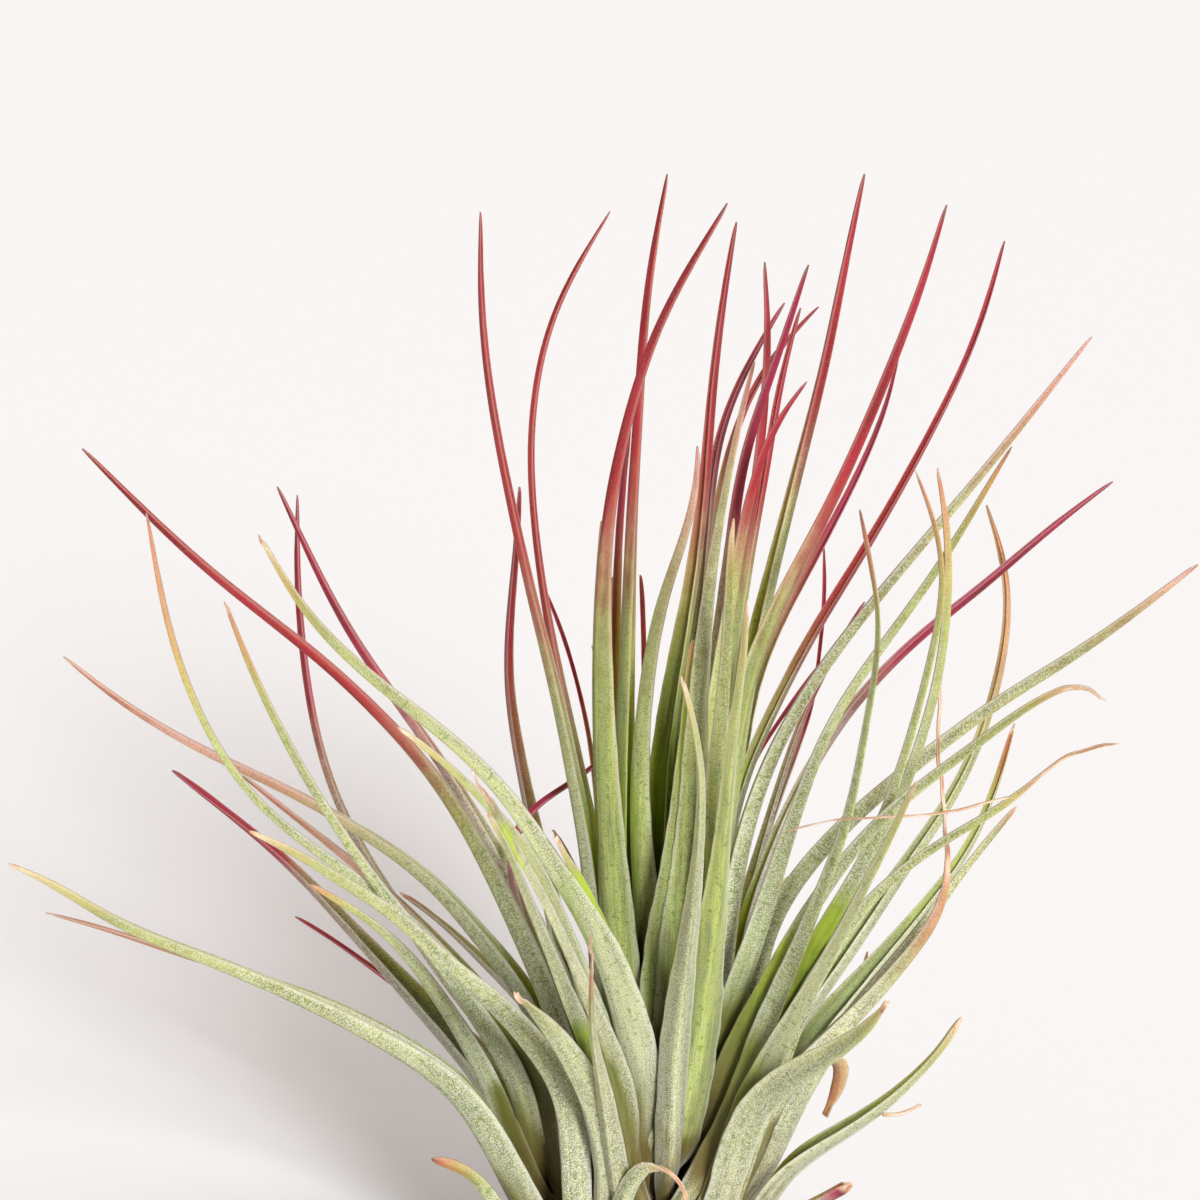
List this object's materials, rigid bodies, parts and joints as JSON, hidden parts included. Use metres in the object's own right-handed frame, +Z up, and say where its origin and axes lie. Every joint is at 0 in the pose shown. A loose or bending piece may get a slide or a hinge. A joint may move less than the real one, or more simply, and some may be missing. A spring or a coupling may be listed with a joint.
{
  "type": "tillandsia andreana air plant",
  "caption": "Air plant: a loose rosette of narrow channelled leaves, silvery green at the base and red at the thread-like tips, on a short stem that rests flat.",
  "frame": {"origin": "middle of the flat underside of the stem, on the surface that the plant rests on", "axes": "+Z up along the stem, -Y towards the side the picture was taken from, +X to that side's right"},
  "size_m": [0.1267, 0.1355, 0.1298],
  "materials": {
    "stem": "dry brown bark and papery old leaves",
    "leaf_heart": "satin green with red tips",
    "leaf_red": "satin, silvery green at the base and red at the tip",
    "leaf_crimson": "satin, mauve grey at the base and crimson above",
    "leaf_olive": "satin green with a thin reddish tip",
    "leaf_tan": "satin, mottled green and tan with a pink tip",
    "leaf_pale": "matte, silvery scales over pale green",
    "leaf_dry": "papery, dried orange brown"
  },
  "bodies": {
    "root": {"stem": "stem", "heart_leaves": "leaf_heart", "leaf_left_01": "leaf_red", "leaf_left_02": "leaf_olive", "leaf_left_03": "leaf_tan", "leaf_left_04": "leaf_tan", "leaf_left_05": "leaf_crimson", "leaf_left_06": "leaf_olive", "leaf_left_07": "leaf_pale", "leaf_left_08": "leaf_tan", "leaf_left_09": "leaf_crimson", "leaf_left_10": "leaf_crimson", "leaf_left_11": "leaf_crimson", "leaf_left_12": "leaf_pale", "leaf_left_13": "leaf_olive", "leaf_left_14": "leaf_pale", "leaf_left_15": "leaf_crimson", "leaf_left_16": "leaf_pale", "leaf_left_17": "leaf_dry", "leaf_left_18": "leaf_pale", "leaf_left_19": "leaf_pale", "leaf_left_20": "leaf_dry", "leaf_left_21": "leaf_pale", "leaf_left_23": "leaf_crimson", "leaf_centre_01": "leaf_red", "leaf_centre_02": "leaf_red", "leaf_centre_03": "leaf_crimson", "leaf_centre_04": "leaf_crimson", "leaf_centre_05": "leaf_pale", "leaf_right_01": "leaf_red", "leaf_right_02": "leaf_tan", "leaf_right_03": "leaf_olive", "leaf_right_04": "leaf_crimson", "leaf_right_05": "leaf_tan", "leaf_right_06": "leaf_olive", "leaf_right_07": "leaf_olive", "leaf_right_08": "leaf_olive", "leaf_right_09": "leaf_olive", "leaf_right_10": "leaf_crimson", "leaf_right_11": "leaf_crimson", "leaf_right_12": "leaf_crimson", "leaf_right_13": "leaf_pale", "leaf_right_14": "leaf_pale", "leaf_right_15": "leaf_pale", "leaf_right_16": "leaf_dry", "leaf_right_17": "leaf_olive", "leaf_right_18": "leaf_tan", "leaf_right_19": "leaf_pale", "leaf_right_20": "leaf_pale", "leaf_right_21": "leaf_dry", "leaf_right_24": "leaf_crimson", "leaf_back_01": "leaf_olive", "leaf_back_02": "leaf_red", "leaf_back_03": "leaf_olive", "leaf_back_04": "leaf_pale", "leaf_back_05": "leaf_crimson", "leaf_back_06": "leaf_olive", "leaf_back_07": "leaf_red", "leaf_back_08": "leaf_olive", "leaf_back_09": "leaf_crimson"}
  },
  "joints": []
}
